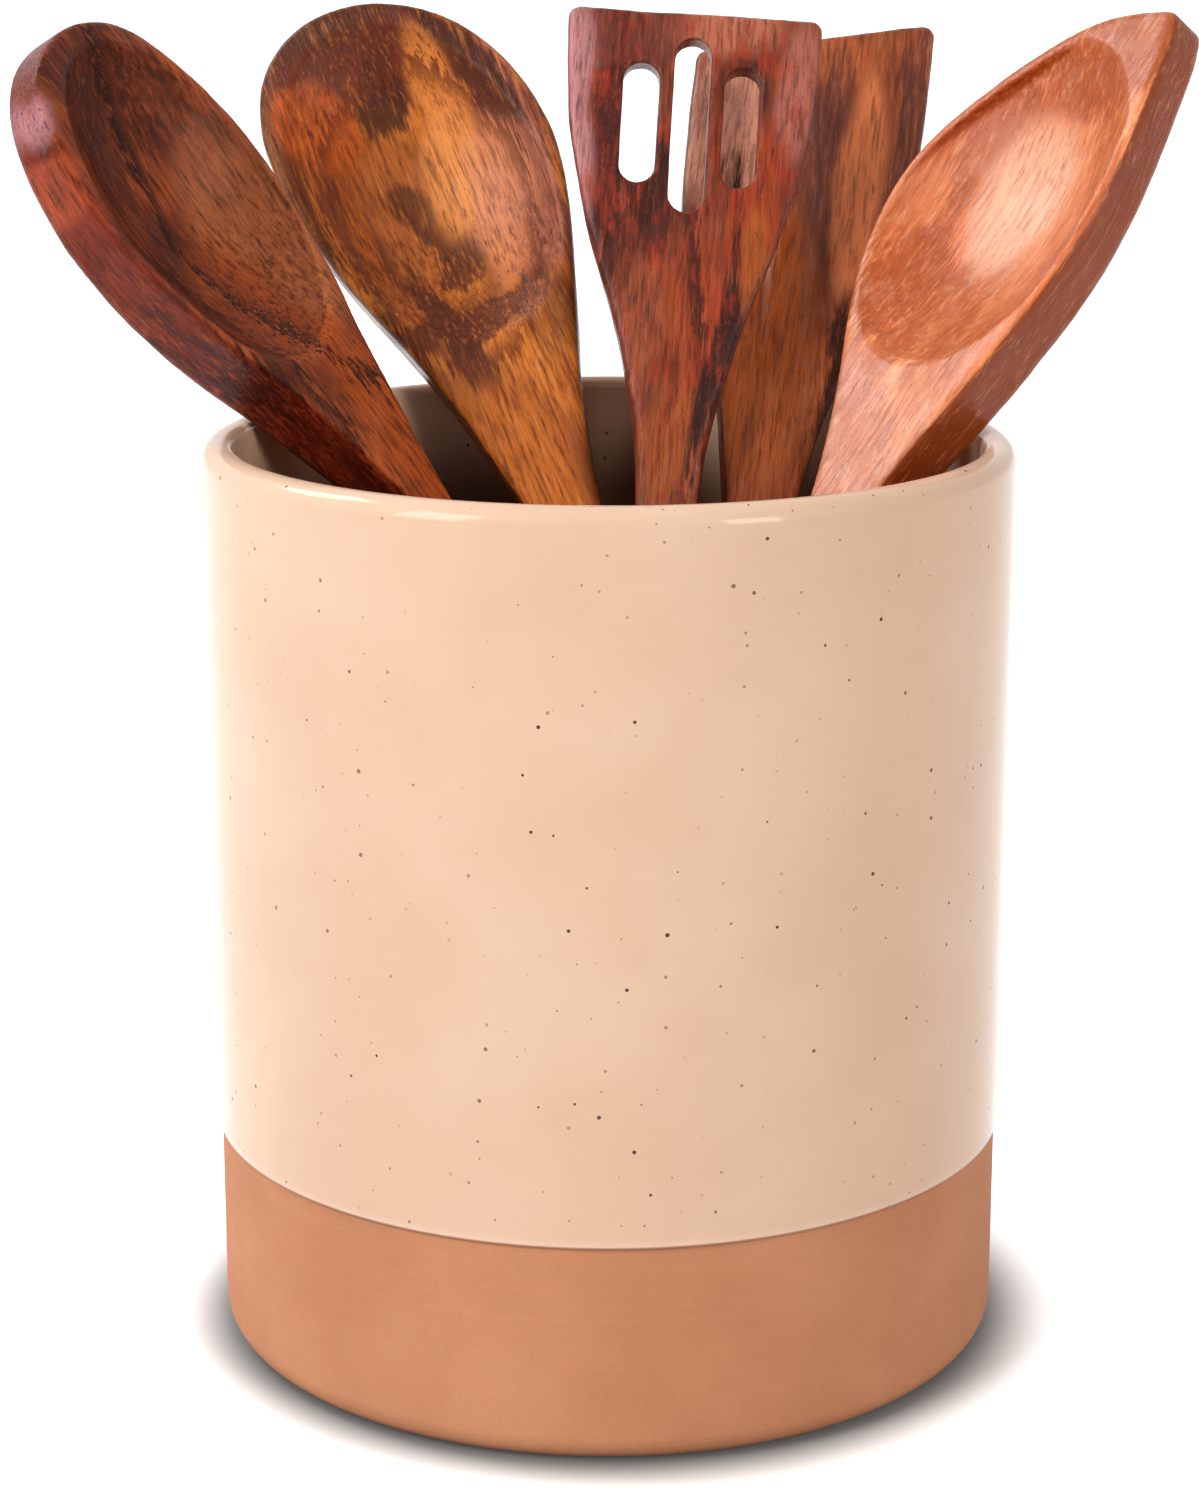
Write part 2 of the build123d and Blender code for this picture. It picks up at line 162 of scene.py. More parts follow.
class Finish:
    """A material whose nodes are added one at a time."""

    def __init__(self, name):
        self.material = bpy.data.materials.new(name)
        self.material.use_nodes = True
        self.tree = self.material.node_tree
        self.shader = self.tree.nodes["Principled BSDF"]

    def node(self, kind, inputs=(), **settings):
        """Add a node; inputs maps sockets to values or to other nodes' outputs."""
        made = self.tree.nodes.new("ShaderNode" + kind)
        for name, value in settings.items():
            setattr(made, name, value)
        self.feed(made, dict(inputs))
        return made

    def feed(self, made, inputs):
        """Link or set each input of a node."""
        for socket, value in inputs.items():
            if isinstance(value, bpy.types.NodeSocket):
                self.tree.links.new(value, made.inputs[socket])
            else:
                made.inputs[socket].default_value = value

    def math(self, operation, *values):
        """One step of arithmetic on numbers."""
        return self.node("Math", enumerate(values), operation=operation).outputs[0]

    def vector(self, operation, *values):
        """One step of arithmetic on points."""
        return self.node("VectorMath", enumerate(values), operation=operation).outputs[0]

    def length(self, point):
        """How far a point is from the zero point."""
        return self.node("VectorMath", {0: point}, operation="LENGTH").outputs["Value"]

    def stretched(self, point, scales):
        """Scale a point by different amounts along its three axes."""
        return self.vector("MULTIPLY", point, scales)

    def mix(self, factor, first, second, blend="MIX"):
        """Mix two colours, the second over the first."""
        inputs = {0: factor, 6: first, 7: second}
        return self.node("Mix", inputs, data_type="RGBA", blend_type=blend).outputs[2]

    def between(self, value, low, high, start=0.0, end=1.0):
        """Ease from start to end while the value goes from low to high."""
        inputs = {0: value, 1: low, 2: high, 3: start, 4: end}
        return self.node("MapRange", inputs, interpolation_type="SMOOTHSTEP").outputs[0]

    def noise(self, point, scale, detail=2.0, roughness=0.5):
        """Cloudy values round 0.5; scale is how many clouds fit in one unit of the point."""
        inputs = {"Vector": point, "Scale": scale, "Detail": detail, "Roughness": roughness}
        return self.node("TexNoise", inputs).outputs["Fac"]

    def bump(self, height, strength, distance, under=None):
        """Tilt the surface's normal by a height pattern, on top of another one if given."""
        inputs = {"Height": height, "Strength": strength, "Distance": distance}
        if under is not None:
            inputs["Normal"] = under
        return self.node("Bump", inputs).outputs[0]


# %% [markdown]
# The pot is thrown or pressed stoneware, and it is modelled the way one would by hand:
# a cylinder whose top is inset by the wall's thickness and pushed down to the floor,
# whose base is inset for the foot ring, and whose edges are bevelled.
# The sizes are those of the solid, with the radius and height read from the frame.

# %% Clay body
pot_low, pot_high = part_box("clay_body")
pot_radius = (pot_high.x - pot_low.x) / 2
pot_height = pot_high.z
wall = 5.2 * mm
floor_thickness = 5.4 * mm
foot_recess = 2 * mm
foot_ring = 8 * mm
heel_round = 6 * mm
lip_outer_round = 3.2 * mm
lip_inner_round = 1.6 * mm
floor_round = 3.4 * mm
around = 192
edge_steps = 8
heel_steps = 10
near = 0.05 * mm  # two places closer than this count as one


def ring_edge(radius, height):
    """A test for the edges that run round at one radius and height."""
    def wanted(first, second):
        return all(abs(p.to_2d().length - radius) < near and abs(p.z - height) < near
                   for p in (first, second))
    return wanted


def top_at(height):
    return lambda centre, normal: normal.z > 0.9 and abs(centre.z - height) < near


def bottom_at(height):
    return lambda centre, normal: normal.z < -0.9 and abs(centre.z - height) < near


def hollow_pot(name, radius, height, thickness, base):
    """A cylinder hollowed from above, its rim and inside floor edges rounded."""
    pick_none()
    bpy.ops.mesh.primitive_cylinder_add(vertices=around, radius=radius, depth=height,
                                        location=(0, 0, height / 2))
    pot = bpy.context.object
    pot.name = name
    bpy.ops.object.transform_apply(location=True, rotation=False, scale=False)
    pick_faces(pot, top_at(height))
    bpy.ops.mesh.inset(thickness=thickness, use_even_offset=True)
    bpy.ops.mesh.extrude_region_move(TRANSFORM_OT_translate={"value": (0, 0, base - height)})
    leave_edit_mode()
    bore = radius - thickness
    for place, size in (((radius, height), lip_outer_round), ((bore, height), lip_inner_round),
                        ((bore, base), floor_round)):
        pick_edges(pot, ring_edge(*place))
        bpy.ops.mesh.bevel(offset=size, segments=edge_steps, profile=0.5)
        leave_edit_mode()
    return pot


def cut_foot(pot):
    """Inset the base for the foot ring, recess the middle, and round the heel."""
    pick_faces(pot, bottom_at(0))
    bpy.ops.mesh.inset(thickness=heel_round + foot_ring, use_even_offset=True)
    bpy.ops.mesh.extrude_region_move(TRANSFORM_OT_translate={"value": (0, 0, foot_recess)})
    leave_edit_mode()
    pick_edges(pot, ring_edge(pot_radius, 0))
    bpy.ops.mesh.bevel(offset=heel_round, segments=heel_steps, profile=0.5)
    leave_edit_mode()


pot = hollow_pot("stoneware_pot", pot_radius, pot_height, wall, foot_recess + floor_thickness)
cut_foot(pot)
print("pot faces", len(pot.data.polygons))

# %% [markdown]
# The glaze is a glassy skin, 0.6 mm thick, that the pot was dipped in upside down.
# Outside it stops at a level line, where the pot was held above the bath.
# It is made from a copy of the pot. A ring of edges is cut at the line, with three more above it,
# and what lies below the line outside is deleted, and so is the whole foot.
# The Solidify modifier then gives the skin its thickness, outward from the clay.

# %% Cream glaze
skin = 0.6 * mm
glazed_height = 138.7 * mm
glaze_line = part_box("cream_glaze")[1].z - glazed_height
edge_rings = 4
ring_step = 0.9 * mm


def cut_level(piece, height):
    """Cut a new ring of edges round the piece at one height."""
    edit_whole(piece)
    bpy.ops.mesh.bisect(plane_co=(0, 0, height), plane_no=(0, 0, 1))
    leave_edit_mode()


def outside_below_line(centre, normal):
    return centre.z < glaze_line and centre.to_2d().length > pot_radius - wall / 2


def under_the_pot(centre, normal):
    return normal.z < 0 and centre.z < foot_recess + near


glaze = copy_of(pot, "cream_glaze_skin")
for step in range(edge_rings):
    cut_level(glaze, glaze_line + step * ring_step)
for bare in (outside_below_line, under_the_pot):
    pick_faces(glaze, bare)
    bpy.ops.mesh.delete(type="FACE")
    leave_edit_mode()
apply(glaze, "SOLIDIFY", thickness=skin, offset=1.0, use_even_offset=True)
print("glaze faces", len(glaze.data.polygons))

# %% [markdown]
# Each tool is cut from one piece of wood, sanded by hand and oiled.
# The solid has its outline, bowl and slots. Its mesh is many loose triangles, so a copy is merged,
# rebuilt as an even skin of small squares, and relaxed.
# That gives the worn, rounded edges of hand work.
# Two soft displacements, one broad and one fine, then leave the unevenness of the carver's knife.

# %% Carved wood
merge_distance = 0.01 * mm
mesh_square = 0.7 * mm
knife_work = ((22 * mm, 0.5 * mm), (6 * mm, 0.18 * mm))  # how broad and how deep


def carved(node, name):
    """A hand-finished copy of a tool's solid, which takes its place."""
    tool = copy_of(frame["nodes"][node], name)
    tool.parent = None
    for key in list(tool.keys()):
        del tool[key]
    tool.data.materials.clear()
    edit_whole(tool)
    bpy.ops.mesh.remove_doubles(threshold=merge_distance)
    leave_edit_mode()
    apply(tool, "REMESH", mode="VOXEL", voxel_size=mesh_square)
    apply(tool, "SMOOTH", factor=0.5, iterations=3)
    for size, depth in knife_work:
        pattern = bpy.data.textures.new(name + "_knife_work", "CLOUDS")
        pattern.noise_scale = size
        pattern.noise_depth = 1
        apply(tool, "DISPLACE", texture=pattern, texture_coords="LOCAL", strength=depth,
              mid_level=0.75)
    pick(tool)
    bpy.ops.object.shade_smooth()
    return tool


tools = {node: carved(node, node + "_wood") for node in (
    "deep_spoon", "oval_spoon", "slotted_turner", "angled_turner", "corner_spoon")}
for node, tool in tools.items():
    print(node, "faces", len(tool.data.polygons))

# %% [markdown]
# Wood grain runs along each tool, so its finish needs the tool's own directions:
# z along the handle, y out of the face and x across. The slide joint gives z,
# the turn of the face about the handle gives the other two, and the handle's end is the zero point.

# %% Each tool's own frame
face_turns = {"deep_spoon": 57, "oval_spoon": 8, "slotted_turner": 0, "angled_turner": 0,
              "corner_spoon": -56}  # in degrees
end_slice = 2 * mm


def own_frame(node):
    """The place of the handle's end, and the turn from the row's axes to the tool's."""
    joint = next(j for j in frame["joints"] if j["child"] == node + "_body")
    along = Vector(joint["axis"]).normalized()
    toward = Vector((0, -1, 0))
    toward = (toward - along * toward.dot(along)).normalized()
    left = toward.cross(along)
    turn = radians(face_turns[node])
    across = left * cos(turn) + toward * sin(turn)
    face = along.cross(across)
    points = [vertex.co for vertex in frame["nodes"][node].data.vertices]
    lowest = min(point.dot(along) for point in points)
    end = [point for point in points if point.dot(along) < lowest + end_slice]
    centre = sum(end, Vector()) / len(end)
    return centre, Matrix((across, face, along)).transposed()


frames = {node: own_frame(node) for node in tools}
for node, (centre, turn) in frames.items():
    print(node, "handle end", [round(c, 4) for c in centre])

# %% [markdown]
# Oiled rosewood and acacia: growth rings that the carving cuts into flames and ovals,
# dark heartwood in cloudy patches, fine fibres along the handle, and short dark pores.
# Rings are distances from a line near the tool's axis, bent by a slow noise. Patches are soft ovals
# and flames are ragged rings round an oval, both placed in the tool's own frame.
# The narrow sides get a painted shade of their own, for how the light falls on them, with the rings
# running through it.
# The scales below say how many times a pattern repeats in a metre: across, out of the face, along.

# %% Wood finish
bend_scale = (26, 26, 12)
bend_reach = (18 * mm, 18 * mm, 30 * mm)
cloud_scale = (42, 42, 17)
fibre_scale = (1100, 1100, 95)
wobble_scale = (70, 70, 10)
blot_scale = (260, 260, 110)
pore_scale = (2100, 2100, 150)
ring_stretch = (1, 1, 0.14)
dent_stretch = (1, 1, 0.6)


class Wood(Finish):
    """A finish in one tool's own frame: x across, y out of the face, z along, in metres."""

    def __init__(self, name, node):
        super().__init__(name)
        centre, turn = frames[node]
        inputs = self.node("TexCoord").outputs
        place = {"Vector": inputs["Object"], "Location": centre, "Rotation": turn.to_euler("XYZ")}
        self.own = self.node("Mapping", place, vector_type="TEXTURE").outputs[0]
        out_of_face = {0: inputs["Normal"], 1: turn.col[1]}
        self.facing = self.node("VectorMath", out_of_face, operation="DOT_PRODUCT").outputs["Value"]
        slow = self.node("TexNoise", {"Vector": self.stretched(self.own, bend_scale), "Scale": 1.0,
                                      "Detail": 3.0, "Roughness": 0.6}).outputs["Color"]
        bend = self.stretched(self.vector("SUBTRACT", slow, (0.5, 0.5, 0.5)), bend_reach)
        self.bent = self.vector("ADD", self.own, bend)
        self.cloud = self.noise(self.stretched(self.bent, cloud_scale), 1.0, 5.0, 0.62)
        self.fibre = self.noise(self.stretched(self.own, fibre_scale), 1.0, 4.0, 0.68)

    def from_oval(self, point, place, half, tilt):
        """How far a point is from an oval's middle: 1 on the oval itself.

        place and half are across and along, in mm; tilt turns the oval's top to the left.
        """
        offset = self.vector("SUBTRACT", point, (place[0] * mm, 0, place[1] * mm))
        turned = self.node("VectorRotate", {"Vector": offset, "Angle": radians(-tilt)},
                           rotation_type="Y_AXIS").outputs[0]
        return self.length(self.stretched(turned, (1 / (half[0] * mm), 0, 1 / (half[1] * mm))))

    def ragged(self, place, half, tilt=0, thick=1.0):
        """How far each point is from an oval whose edge is bent, and frayed by cloud and fibre."""
        away = self.from_oval(self.bent, place, half, tilt)
        fray = self.math("ADD", self.math("SUBTRACT", self.cloud, 0.5),
                         self.math("SUBTRACT", self.fibre, 0.5))
        return self.math("MULTIPLY_ADD", fray, thick, away)

    def patch(self, body, place, half, shade, strength, tilt=0):
        """A soft, ragged oval of another shade."""
        away = self.ragged(place, half, tilt)
        return self.mix(self.between(away, 0.7, 1.1, strength, 0.0), body, colour(*shade))

    def flame(self, body, place, half, width, shade, strength):
        """A dark ragged ring round an oval, as where the carving cuts through one dark layer."""
        away = self.ragged(place, half, thick=0.7)
        off = self.math("ABSOLUTE", self.math("SUBTRACT", away, 1.0))
        return self.mix(self.between(off, 0.3 * width, width, strength, 0.0), body, colour(*shade))

    def painted_bowl_shade(self, body, place, half, tilt, shade, strength):
        """Painted shade in the bowl: darker, the more so up its walls, to a crisp edge."""
        away = self.from_oval(self.own, place, half, tilt)
        inside = self.math("MULTIPLY", self.between(away, 1.0, 0.98),
                           self.between(self.facing, 0.0, 0.1))
        depth = self.between(away, 0.25, 0.95, 0.25 * strength, strength)
        return self.mix(self.math("MULTIPLY", inside, depth), body, colour(*shade))


def wood(name, node, tone, side, rings, patches, flames=(), painted_bowl_shade=None, mottle=None, late=(),
         gloss=0.25, shine=0.22, contrast=1.0):
    """The finish of one tool.

    tone: the light, middle, dark and pore shades. side: the narrow sides' painted shade and its
    strength.
    rings: their centre across and behind the face, and their spacing, in mm.
    patches lie under the sides' painted shade and late ones over it. mottle: small blots and their
    strength.
    """
    light, middle, dark, pore = (colour(*shade) for shade in tone)
    ring_across, ring_behind, ring_spacing = (length * mm for length in rings)
    finish = Wood(name, node)
    shifted = finish.vector("SUBTRACT", finish.bent, (ring_across, -ring_behind, 0))
    radius = finish.length(finish.stretched(shifted, ring_stretch))
    wobble = finish.noise(finish.stretched(finish.own, wobble_scale), 1.6, 4.0, 0.6)
    phase = finish.math("ADD", finish.math("DIVIDE", radius, ring_spacing), wobble)
    ring = finish.between(finish.math("PINGPONG", phase, 0.5), 0.14, 0.46)

    body = finish.mix(finish.between(finish.cloud, 0.38, 0.64), middle, light)
    figure = finish.math("MULTIPLY", ring, finish.between(finish.cloud, 0.3, 0.7, 0.8, 0.3))
    body = finish.mix(finish.math("MULTIPLY", figure, contrast), body, dark)
    for patch in patches:
        body = finish.patch(body, *patch)
    for flame in flames:
        body = finish.flame(body, *flame)
    if mottle:
        blot_shade, blot_strength = mottle
        blots = finish.noise(finish.stretched(finish.bent, blot_scale), 1.0, 6.0, 0.75)
        body = finish.mix(finish.between(blots, 0.48, 0.64, 0.0, blot_strength), body,
                          colour(*blot_shade))
    # Painted shade on the narrow sides, for how the light falls on them.
    side_shade, side_strength = side
    narrow = finish.between(finish.math("ABSOLUTE", finish.facing), 0.5, 0.72, side_strength, 0.0)
    painted_side_shade = finish.mix(finish.math("MULTIPLY", ring, 0.5), colour(*side_shade), dark)
    body = finish.mix(narrow, body, painted_side_shade)
    for patch in late:
        body = finish.patch(body, *patch)
    # Painted shade in the bowl, darker up its walls.
    if painted_bowl_shade:
        body = finish.painted_bowl_shade(body, *painted_bowl_shade)

    body = finish.mix(finish.between(finish.fibre, 0.32, 0.56, 0.7 * contrast, 0.0), body, dark)
    body = finish.mix(finish.between(finish.fibre, 0.52, 0.72, 0.0, 0.34), body, light, "SCREEN")
    pores = finish.noise(finish.stretched(finish.own, pore_scale), 1.0, 2.0, 0.5)
    pits = finish.between(pores, 0.65, 0.72)
    body = finish.mix(finish.math("MULTIPLY", pits, 0.55), body, pore)

    polish = finish.noise(finish.own, 120.0, 3.0)
    rough = finish.between(polish, 0.3, 0.7, gloss - 0.07, gloss + 0.12)
    dents = finish.noise(finish.stretched(finish.own, dent_stretch), 260.0, 2.0, 0.5)
    relief = finish.bump(dents, 0.45, 0.5 * mm)
    relief = finish.bump(finish.fibre, 0.75, 0.3 * mm, relief)
    relief = finish.bump(finish.math("SUBTRACT", 1.0, pits), 0.4, 0.12 * mm, relief)
    finish.feed(finish.shader, {"Base Color": body, "Roughness": rough, "Normal": relief,
                                "Specular IOR Level": shine,
                                "Specular Tint": colour(255, 226, 220)})
    return finish.material


# %% [markdown]
# Each tool has a figure of its own. Patches, flames and the painted bowl shade start with an oval:
# its middle, across and along from the handle's end, and its two half sizes, all in mm.
# A patch goes on with its shade, its strength and for some a tilt in degrees.
# A flame has its width as a share of the oval before the shade, and the bowl shade has its tilt
# there.

# %% The five figures
finishes = {}
finishes["deep_spoon"] = wood(
    "dark_rosewood", "deep_spoon",
    tone=((186, 90, 44), (130, 54, 24), (40, 12, 5), (24, 8, 4)),
    side=((116, 34, 18), 0.8),
    rings=(4, 30, 5.0),
    patches=[
        # Dark over the tip and upper left: wood colour, and partly painted shade on the bowl's
        # shaded left wall.
        ((8, 285), (18, 26), (70, 24, 10), 0.7),
        # Pale low on the right: wood colour, and partly painted light where that wall faces the
        # lamp.
        ((-14, 246), (12, 28), (190, 108, 66), 0.8),
        ((-8, 280), (9, 14), (110, 50, 34), 0.6),
        ((19, 278), (4, 22), (150, 68, 18), 0.8),
        ((20, 205), (10, 26), (52, 20, 8), 0.75),
        ((-4, 200), (9, 34), (182, 84, 28), 0.8),
        ((2, 236), (12, 16), (176, 80, 36), 0.7)],
    flames=[
        ((-16, 262), (19, 60), 0.06, (20, 5, 2), 0.95),
        ((30, 200), (22, 60), 0.08, (24, 7, 3), 0.8)],
    painted_bowl_shade=((1.5, 258.7), (23, 37.5), 0, (50, 16, 6), 0.42),
    late=[
        ((27, 258), (6, 13), (128, 46, 26), 0.75),
        # A painted highlight, pale lilac, high on the left side wall.
        ((26, 293), (8, 9), (204, 142, 150), 0.8),
        ((27, 276), (6, 8), (176, 76, 44), 0.7),
        ((22, 212), (8, 18), (64, 16, 8), 0.7)],
    shine=0.14)
finishes["oval_spoon"] = wood(
    "orange_rosewood", "oval_spoon",
    tone=((224, 130, 50), (176, 86, 22), (70, 28, 8), (38, 14, 5)),
    side=((84, 40, 18), 0.75),
    rings=(2, 24, 5.0),
    patches=[
        ((2, 294), (36, 14), (74, 34, 20), 0.95),
        ((4, 282), (26, 9), (104, 42, 26), 0.85, -8),
        ((-22, 250), (8, 30), (170, 96, 76), 0.85),
        ((28, 262), (6, 40), (92, 46, 14), 0.8),
        ((17, 274), (8, 11), (206, 92, 28), 0.85),
        ((7, 250), (8, 18), (196, 108, 50), 0.75),
        ((2, 275), (7, 10), (50, 24, 16), 0.9, -20),
        ((-18, 272), (5, 18), (54, 22, 16), 0.9, 22),
        ((3, 246), (4, 12), (70, 30, 14), 0.75, 24),
        ((-4, 236), (10, 5), (76, 32, 18), 0.8, 20),
        ((-10, 270), (6, 15), (238, 142, 66), 0.95, 8),
        ((-7, 252), (9, 16), (240, 148, 74), 0.95, -8),
        ((-15, 242), (9, 20), (230, 140, 92), 0.9, -12),
        ((6, 219), (21, 4.0), (80, 30, 12), 0.9, -76),
        ((4, 222), (21, 4.2), (84, 32, 14), 0.85),
        ((6, 190), (16, 24), (204, 108, 40), 0.7)],
    flames=[
        ((0, 246), (21, 34), 0.09, (116, 46, 12), 0.7)],
    painted_bowl_shade=((0.5, 253.2), (25.5, 38.5), 9, (110, 42, 8), 0.28))
finishes["slotted_turner"] = wood(
    "red_rosewood", "slotted_turner",
    tone=((166, 84, 52), (110, 42, 26), (38, 12, 9), (30, 9, 7)),
    side=((120, 56, 50), 0.6),
    rings=(-10, 30, 4.5),
    patches=[
        ((12, 268), (18, 8), (112, 54, 44), 0.8),
        ((-8, 268), (13, 8), (190, 110, 84), 0.85),
        ((-3, 205), (8, 22), (164, 66, 26), 0.7),
        ((18, 238), (8, 18), (72, 26, 22), 0.85),
        ((-16, 226), (7, 22), (164, 66, 32), 0.8),
        ((0, 178), (8, 16), (176, 88, 36), 0.6),
        ((-9, 198), (3, 26), (44, 15, 10), 0.95, -8),
        ((6, 232), (4, 12), (60, 20, 16), 0.7),
        # A painted highlight, pink and lilac, along the left edge.
        ((24.5, 246), (4.5, 32), (196, 134, 134), 0.9),
        ((-23, 256), (5, 18), (176, 104, 90), 0.85),
        ((-17, 212), (4, 18), (168, 88, 34), 0.8)],
    flames=[
        ((6, 196), (12, 44), 0.12, (34, 10, 8), 0.8)],
    mottle=((164, 54, 30), 0.65),
    contrast=0.9)
finishes["angled_turner"] = wood(
    "purple_rosewood", "angled_turner",
    tone=((196, 104, 58), (142, 62, 30), (56, 19, 10), (44, 15, 10)),
    side=((84, 34, 26), 0.7),
    rings=(0, 40, 6.0),
    patches=[
        ((-3, 262), (9, 26), (124, 66, 52), 0.85),
        # Painted light: a pale streak where the slotted turner shades it, seen through its slots.
        ((14, 262), (13, 24), (255, 178, 150), 0.95),
        ((-23, 262), (4, 40), (108, 56, 44), 0.85),
        ((2, 214), (10, 34), (206, 104, 44), 0.9),
        ((-14, 200), (5, 30), (44, 15, 8), 0.95),
        # Painted shadow along the left edge, under the slotted turner.
        ((15, 214), (5, 40), (44, 14, 8), 0.95)],
    mottle=((160, 92, 66), 0.4),
    late=[
        ((-13.5, 256), (6, 28), (255, 146, 88), 0.85)],
    contrast=0.8)
finishes["corner_spoon"] = wood(
    "light_rosewood", "corner_spoon",
    tone=((248, 160, 106), (224, 120, 66), (146, 66, 26), (120, 54, 24)),
    side=((134, 52, 2), 1.0),
    rings=(6, 30, 7.0),
    patches=[
        ((4, 292), (18, 12), (160, 74, 30), 0.85),
        ((26, 276), (7, 24), (164, 78, 36), 0.8),
        ((26, 234), (8, 16), (160, 74, 30), 0.85),
        ((14, 224), (5, 11), (170, 82, 38), 0.7, 20),
        ((2, 228), (4, 14), (178, 88, 42), 0.6, 14),
        # A painted highlight in the middle of the bowl.
        ((12, 262), (12, 18), (255, 190, 152), 0.85),
        ((10, 200), (22, 21), (204, 128, 98), 0.95)],
    painted_bowl_shade=((10.5, 257.3), (26.5, 38), 0, (184, 84, 34), 0.6),
    mottle=((255, 210, 186), 0.22),
    late=[
        # Painted shade low on the side, where the handle goes down past the crock's rim.
        ((-17, 192), (8, 24), (96, 40, 8), 0.9)],
    gloss=0.2, shine=0.36, contrast=0.75)

for node, tool in tools.items():
    tool.data.materials.append(finishes[node])
    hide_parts(node)
    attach(tool, node + "_body")
    print(node, "finish", finishes[node].name)

# %% [markdown]
# The glaze is a warm cream, glossy like glass, with a faint waviness that bends reflections.
# Iron specks in it melt to small brown dots: a 3-D cell pattern puts one little ball in each cell,
# and where the surface cuts a ball there is a round dot. Sizes and shades differ from dot to dot.
# At its lower edge the skin has a paler band, and ends in a fine brown line.
# Inside the crock a painted shade makes it browner toward the floor.

# %% Glaze finish
def specks(finish, place, cell, largest, shade_low, shade_high):
    """How dark each speck is, 0 between them; the smallest are just under half the largest."""
    cells = finish.node("TexVoronoi", {"Vector": place, "Scale": 1 / cell, "Randomness": 1.0})
    chance = finish.node("SeparateColor", {0: cells.outputs["Color"]}).outputs
    size = finish.math("MULTIPLY_ADD", chance[0], 0.55 * largest / cell, 0.45 * largest / cell)
    edge = finish.math("SUBTRACT", size, cells.outputs["Distance"])
    dot = finish.between(edge, 0.0, 0.12 * largest / cell)
    shade = finish.between(chance[1], 0.0, 1.0, shade_low, shade_high)
    return finish.math("MULTIPLY", dot, shade)


def glaze_finish():
    """Cream with brown specks, a painted shade inside, and with a pale band and a brown line at its
    edge.
    """
    cream, second_cream = colour(228, 194, 168), colour(222, 186, 159)
    painted_inner_shade, iron_brown = colour(88, 56, 40), colour(62, 38, 26)
    pale_cream, line_brown = colour(244, 214, 196), colour(146, 94, 68)
    finish = Finish("speckled_cream_glaze")
    place = finish.node("TexCoord").outputs["Object"]
    height = finish.node("SeparateXYZ", {0: place}).outputs["Z"]
    cloud = finish.noise(place, 26.0, 3.0)
    body = finish.mix(finish.between(cloud, 0.3, 0.7), cream, second_cream)

    # Painted shade inside the crock, darker from the rim down.
    radius = finish.length(finish.stretched(place, (1, 1, 0)))
    inside = finish.between(radius, pot_radius - 0.6 * wall, pot_radius - 0.9 * wall)
    deep = finish.between(height, pot_height - 1 * mm, pot_height - 26 * mm, 0.0, 0.9)
    body = finish.mix(finish.math("MULTIPLY", inside, deep), body, painted_inner_shade)

    big = specks(finish, place, cell=5.6 * mm, largest=0.5 * mm, shade_low=0.65, shade_high=1.0)
    small = specks(finish, place, cell=3.6 * mm, largest=0.38 * mm, shade_low=0.15, shade_high=0.55)
    dots = finish.math("MAXIMUM", big, small)
    body = finish.mix(dots, body, iron_brown)

    uneven = finish.math("MULTIPLY", finish.noise(place, 180.0, 2.0), 0.8 * mm)
    line = finish.math("ADD", height, uneven)
    pale = finish.between(line, glaze_line + 2.4 * mm, glaze_line + 0.6 * mm, 0.0, 0.35)
    body = finish.mix(pale, body, pale_cream)
    rim = finish.between(height, glaze_line + 0.4 * mm, glaze_line + 0.15 * mm, 0.0, 0.75)
    body = finish.mix(rim, body, line_brown)

    wave = finish.bump(finish.noise(place, 45.0, 2.0), 0.12, 1.2 * mm)
    wave = finish.bump(finish.noise(place, 700.0, 2.0), 0.04, 0.1 * mm, wave)
    wave = finish.bump(dots, 0.3, 0.08 * mm, wave)
    rough = finish.between(cloud, 0.3, 0.7, 0.08, 0.13)
    finish.feed(finish.shader, {"Base Color": body, "Roughness": rough, "Normal": wave,
                                "Specular IOR Level": 0.26,
                                "Specular Tint": colour(255, 236, 220)})
    return finish.material


glaze.data.materials.clear()
glaze.data.materials.append(glaze_finish())
print("glaze finish", glaze.data.materials[0].name)

# %% [markdown]
# Below the line the fired clay is bare: a matt, sandy terracotta with fine grog,
# faint rings from turning, and a thin darker line just under the glaze's edge.

# %% Clay finish
def clay_finish():
    """Matt terracotta with sand in it, faint turning rings and a dark line under the glaze."""
    clay, second_clay = colour(206, 143, 104), colour(194, 130, 92)
    grog, ring_shade, line_under_glaze = colour(150, 92, 62), colour(228, 172, 134), colour(128, 78, 54)
    finish = Finish("bare_terracotta")
    place = finish.node("TexCoord").outputs["Object"]
    height = finish.node("SeparateXYZ", {0: place}).outputs["Z"]
    cloud = finish.noise(place, 30.0, 4.0, 0.55)
    body = finish.mix(finish.between(cloud, 0.3, 0.7), clay, second_clay)
    sand = finish.noise(place, 2600.0, 2.0)
    body = finish.mix(finish.between(sand, 0.3, 0.75, 0.16, 0.0), body, grog)
    turning = finish.noise(finish.stretched(place, (3, 3, 900)), 1.0, 2.0)
    body = finish.mix(finish.between(turning, 0.5, 0.8, 0.0, 0.06), body, ring_shade)
    edge = finish.between(height, glaze_line - 0.9 * mm, glaze_line - 0.2 * mm)
    body = finish.mix(finish.math("MULTIPLY", edge, 0.5), body, line_under_glaze)
    relief = finish.bump(sand, 0.3, 0.12 * mm)
    relief = finish.bump(turning, 0.12, 0.15 * mm, relief)
    finish.feed(finish.shader, {"Base Color": body, "Roughness": 0.86, "Normal": relief})
    return finish.material


pot.data.materials.clear()
pot.data.materials.append(clay_finish())
print("clay finish", pot.data.materials[0].name)

